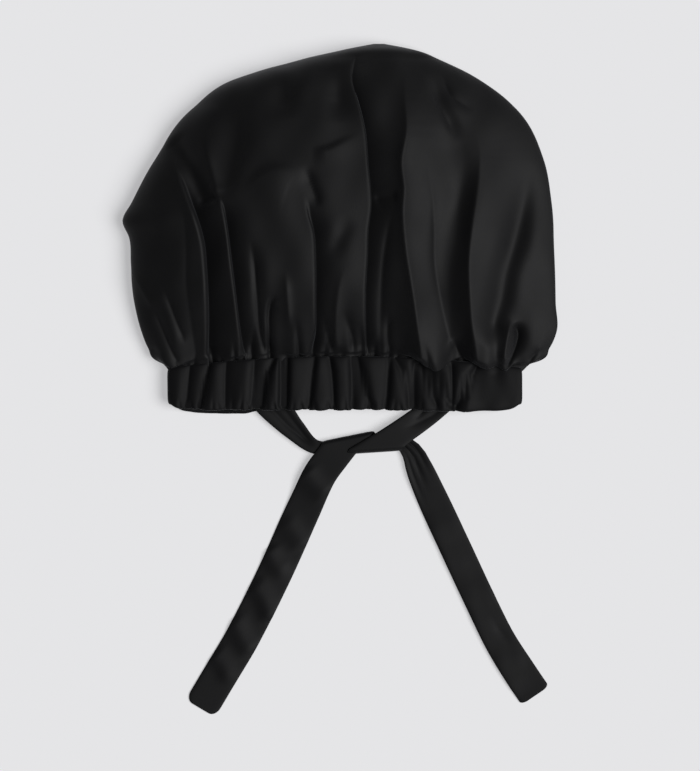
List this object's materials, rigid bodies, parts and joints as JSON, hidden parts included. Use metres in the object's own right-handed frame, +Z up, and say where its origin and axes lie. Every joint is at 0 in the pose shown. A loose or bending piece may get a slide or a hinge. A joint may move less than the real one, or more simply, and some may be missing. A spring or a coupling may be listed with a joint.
{
  "type": "sleep bonnet",
  "caption": "Soft satin sleep bonnet lying flat: a full gathered crown with folds, a ruffled elastic band round an open mouth, and flat ties joined in a half knot.",
  "frame": {"origin": "on the table, under the middle of the outline as the bonnet lies", "axes": "+Y from the ties through the mouth to the top of the crown, +X to the right as it is seen from above, +Z up from the table"},
  "size_m": [0.324, 0.5023, 0.0458],
  "materials": {
    "crown_satin": "black satin, soft sheen",
    "band_satin": "black satin casing over elastic, ruffled",
    "tie_satin": "black satin, pressed flat"
  },
  "bodies": {
    "root": {"crown": "crown_satin", "band": "band_satin", "tie_left": "tie_satin", "tie_right": "tie_satin"}
  },
  "joints": []
}
